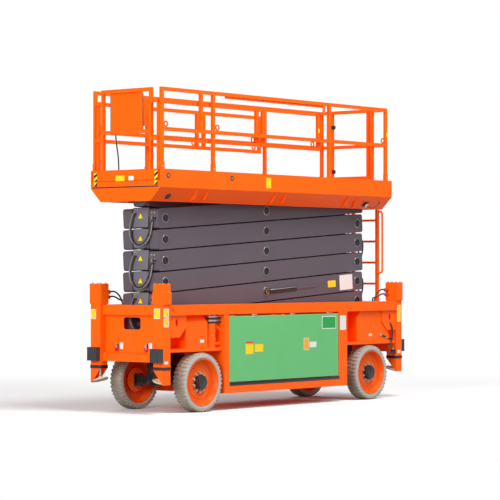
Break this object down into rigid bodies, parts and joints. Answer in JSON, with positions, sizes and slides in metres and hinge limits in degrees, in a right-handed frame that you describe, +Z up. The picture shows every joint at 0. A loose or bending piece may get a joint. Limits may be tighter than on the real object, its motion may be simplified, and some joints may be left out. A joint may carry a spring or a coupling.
{
  "type": "electric scissor lift",
  "caption": "Wheeled chassis with outriggers and a folding scissor stack that raises a railed work platform with a sliding deck extension.",
  "frame": {"origin": "on the floor under the middle of the machine", "axes": "+Z up, -X towards the front with the deck extension and the steered wheels, Y across"},
  "size_m": [4.942, 1.2, 3.858],
  "materials": {
    "orange_paint": "gloss powder coat",
    "grey_paint": "satin paint",
    "green_paint": "gloss paint",
    "tyre": "non marking rubber",
    "rubber": "moulded",
    "cast_iron": "painted black",
    "chrome": "hard chrome",
    "black_plastic": "textured"
  },
  "bodies": {
    "chassis": {"chassis_frame": "orange_paint", "side_beams": "orange_paint", "end_frames": "orange_paint", "belly_box": "orange_paint", "bay_frames": "orange_paint", "arch_gear": "orange_paint", "battery_pack": "black_plastic", "hydraulic_unit": "black_plastic", "outrigger_sleeves": "orange_paint", "bumpers": "rubber", "front_axle": "cast_iron", "rear_axle": "cast_iron", "ladder": "orange_paint"},
    "door_near": {"door_near": "green_paint"},
    "door_far": {"door_far": "green_paint"},
    "knuckle_near": {"knuckle_near": "cast_iron"},
    "knuckle_far": {"knuckle_far": "cast_iron"},
    "jack_front_near": {"jack_front_near": "orange_paint"},
    "jack_front_far": {"jack_front_far": "orange_paint"},
    "jack_rear_near": {"jack_rear_near": "orange_paint"},
    "jack_rear_far": {"jack_rear_far": "orange_paint"},
    "wheel_front_near": {"tyre_front_near": "tyre", "rim_front_near": "orange_paint"},
    "wheel_front_far": {"tyre_front_far": "tyre", "rim_front_far": "orange_paint"},
    "wheel_rear_near": {"tyre_rear_near": "tyre", "rim_rear_near": "orange_paint"},
    "wheel_rear_far": {"tyre_rear_far": "tyre", "rim_rear_far": "orange_paint"},
    "outer_arm_1": {"outer_arm_1": "grey_paint"},
    "inner_arm_1": {"inner_arm_1": "grey_paint"},
    "outer_arm_2": {"outer_arm_2": "grey_paint"},
    "inner_arm_2": {"inner_arm_2": "grey_paint"},
    "outer_arm_3": {"outer_arm_3": "grey_paint"},
    "inner_arm_3": {"inner_arm_3": "grey_paint"},
    "outer_arm_4": {"outer_arm_4": "grey_paint"},
    "inner_arm_4": {"inner_arm_4": "grey_paint"},
    "outer_arm_5": {"outer_arm_5": "grey_paint"},
    "inner_arm_5": {"inner_arm_5": "grey_paint"},
    "outer_arm_6": {"outer_arm_6": "grey_paint"},
    "inner_arm_6": {"inner_arm_6": "grey_paint"},
    "platform": {"platform_frame": "orange_paint", "guardrails": "orange_paint", "lanyard_eyes": "orange_paint"},
    "extension": {"extension_deck": "orange_paint", "extension_rails": "orange_paint", "control_box": "orange_paint", "extension_eyes": "orange_paint"},
    "gate": {"gate": "orange_paint"},
    "barrel_lower": {"barrel_lower": "grey_paint"},
    "rod_lower": {"rod_lower": "chrome"},
    "barrel_upper": {"barrel_upper": "grey_paint"},
    "rod_upper": {"rod_upper": "chrome"}
  },
  "joints": [
    {"name": "jack_front_near_slide", "type": "slide", "parent": "chassis", "child": "jack_front_near", "axis": [0, 0, -1], "range_m": [0, 0.43]},
    {"name": "jack_front_far_slide", "type": "slide", "parent": "chassis", "child": "jack_front_far", "axis": [0, 0, -1], "range_m": [0, 0.43]},
    {"name": "jack_rear_near_slide", "type": "slide", "parent": "chassis", "child": "jack_rear_near", "axis": [0, 0, -1], "range_m": [0, 0.43]},
    {"name": "jack_rear_far_slide", "type": "slide", "parent": "chassis", "child": "jack_rear_far", "axis": [0, 0, -1], "range_m": [0, 0.43]},
    {"name": "wheel_front_near_roll", "type": "hinge", "parent": "knuckle_near", "child": "wheel_front_near", "pos_m": [-1.7, -0.51, 0.356], "axis": [0, 1, 0], "continuous": true},
    {"name": "wheel_front_far_roll", "type": "hinge", "parent": "knuckle_far", "child": "wheel_front_far", "pos_m": [-1.7, 0.51, 0.356], "axis": [0, 1, 0], "continuous": true},
    {"name": "wheel_rear_near_roll", "type": "hinge", "parent": "chassis", "child": "wheel_rear_near", "pos_m": [1.7, -0.51, 0.356], "axis": [0, 1, 0], "continuous": true},
    {"name": "wheel_rear_far_roll", "type": "hinge", "parent": "chassis", "child": "wheel_rear_far", "pos_m": [1.7, 0.51, 0.356], "axis": [0, 1, 0], "continuous": true},
    {"name": "steer_near", "type": "hinge", "parent": "chassis", "child": "knuckle_near", "pos_m": [-1.7, -0.43, 0.356], "axis": [0, 0, 1], "range_deg": [-35, 35]},
    {"name": "steer_far", "type": "hinge", "parent": "chassis", "child": "knuckle_far", "pos_m": [-1.7, 0.43, 0.356], "axis": [0, 0, 1], "range_deg": [-35, 35]},
    {"name": "door_near_hinge", "type": "hinge", "parent": "chassis", "child": "door_near", "pos_m": [-0.114, -0.592, 1.153], "axis": [-1, 0, 0], "range_deg": [0, 85]},
    {"name": "door_far_hinge", "type": "hinge", "parent": "chassis", "child": "door_far", "pos_m": [-0.114, 0.592, 1.153], "axis": [1, 0, 0], "range_deg": [0, 85]},
    {"name": "lift", "type": "hinge", "parent": "chassis", "child": "outer_arm_1", "pos_m": [-2.032, 0, 1.05], "axis": [0, -1, 0], "range_deg": [0, 50.5]},
    {"name": "centre_pin_1", "type": "hinge", "parent": "outer_arm_1", "child": "inner_arm_1", "pos_m": [-0.1145, 0, 1.17725], "axis": [0, -1, 0], "range_deg": [-102, 0]},
    {"name": "front_pin_1", "type": "hinge", "parent": "inner_arm_1", "child": "outer_arm_2", "pos_m": [-2.032, 0, 1.3045], "axis": [0, -1, 0], "range_deg": [0, 102]},
    {"name": "centre_pin_2", "type": "hinge", "parent": "outer_arm_2", "child": "inner_arm_2", "pos_m": [-0.1145, 0, 1.43175], "axis": [0, -1, 0], "range_deg": [-102, 0]},
    {"name": "front_pin_2", "type": "hinge", "parent": "inner_arm_2", "child": "outer_arm_3", "pos_m": [-2.032, 0, 1.559], "axis": [0, -1, 0], "range_deg": [0, 102]},
    {"name": "centre_pin_3", "type": "hinge", "parent": "outer_arm_3", "child": "inner_arm_3", "pos_m": [-0.1145, 0, 1.68625], "axis": [0, -1, 0], "range_deg": [-102, 0]},
    {"name": "front_pin_3", "type": "hinge", "parent": "inner_arm_3", "child": "outer_arm_4", "pos_m": [-2.032, 0, 1.8135], "axis": [0, -1, 0], "range_deg": [0, 102]},
    {"name": "centre_pin_4", "type": "hinge", "parent": "outer_arm_4", "child": "inner_arm_4", "pos_m": [-0.1145, 0, 1.94075], "axis": [0, -1, 0], "range_deg": [-102, 0]},
    {"name": "front_pin_4", "type": "hinge", "parent": "inner_arm_4", "child": "outer_arm_5", "pos_m": [-2.032, 0, 2.068], "axis": [0, -1, 0], "range_deg": [0, 102]},
    {"name": "centre_pin_5", "type": "hinge", "parent": "outer_arm_5", "child": "inner_arm_5", "pos_m": [-0.1145, 0, 2.19525], "axis": [0, -1, 0], "range_deg": [-102, 0]},
    {"name": "front_pin_5", "type": "hinge", "parent": "inner_arm_5", "child": "outer_arm_6", "pos_m": [-2.032, 0, 2.3225], "axis": [0, -1, 0], "range_deg": [0, 102]},
    {"name": "centre_pin_6", "type": "hinge", "parent": "outer_arm_6", "child": "inner_arm_6", "pos_m": [-0.1145, 0, 2.44975], "axis": [0, -1, 0], "range_deg": [-102, 0]},
    {"name": "platform_pin", "type": "hinge", "parent": "inner_arm_6", "child": "platform", "pos_m": [-2.032, 0, 2.577], "axis": [0, -1, 0], "range_deg": [0, 51.5]},
    {"name": "extension_slide", "type": "slide", "parent": "platform", "child": "extension", "axis": [-1, 0, 0], "range_m": [0, 1.25]},
    {"name": "gate_hinge", "type": "hinge", "parent": "platform", "child": "gate", "pos_m": [2.071, 0.385, 3.3], "axis": [0, 0, 1], "range_deg": [-90, 0]},
    {"name": "barrel_lower_pin", "type": "hinge", "parent": "inner_arm_1", "child": "barrel_lower", "pos_m": [-0.89107, 0, 1.22879], "axis": [0, -1, 0], "range_deg": [0, 109.05]},
    {"name": "rod_lower_slide", "type": "slide", "parent": "barrel_lower", "child": "rod_lower", "axis": [0.9957, 0, 0.0926], "range_m": [0, 0.4537]},
    {"name": "barrel_upper_pin", "type": "hinge", "parent": "inner_arm_4", "child": "barrel_upper", "pos_m": [-0.89107, 0, 1.99229], "axis": [0, -1, 0], "range_deg": [0, 109.05]},
    {"name": "rod_upper_slide", "type": "slide", "parent": "barrel_upper", "child": "rod_upper", "axis": [0.9957, 0, 0.0926], "range_m": [0, 0.4537]}
  ],
  "couplings": [
    {"joint": "steer_far", "follows": "steer_near", "ratio": 1},
    {"joint": "centre_pin_1", "follows": "lift", "ratio": -2},
    {"joint": "front_pin_1", "follows": "lift", "ratio": 2},
    {"joint": "centre_pin_2", "follows": "lift", "ratio": -2},
    {"joint": "front_pin_2", "follows": "lift", "ratio": 2},
    {"joint": "centre_pin_3", "follows": "lift", "ratio": -2},
    {"joint": "front_pin_3", "follows": "lift", "ratio": 2},
    {"joint": "centre_pin_4", "follows": "lift", "ratio": -2},
    {"joint": "front_pin_4", "follows": "lift", "ratio": 2},
    {"joint": "centre_pin_5", "follows": "lift", "ratio": -2},
    {"joint": "front_pin_5", "follows": "lift", "ratio": 2},
    {"joint": "centre_pin_6", "follows": "lift", "ratio": -2},
    {"joint": "platform_pin", "follows": "lift", "ratio": 1},
    {"joint": "barrel_lower_pin", "follows": "lift", "ratio": 2.1395},
    {"joint": "rod_lower_slide", "follows": "lift", "m_per_rad": 0.50347},
    {"joint": "barrel_upper_pin", "follows": "lift", "ratio": 2.1395},
    {"joint": "rod_upper_slide", "follows": "lift", "m_per_rad": 0.50347}
  ]
}
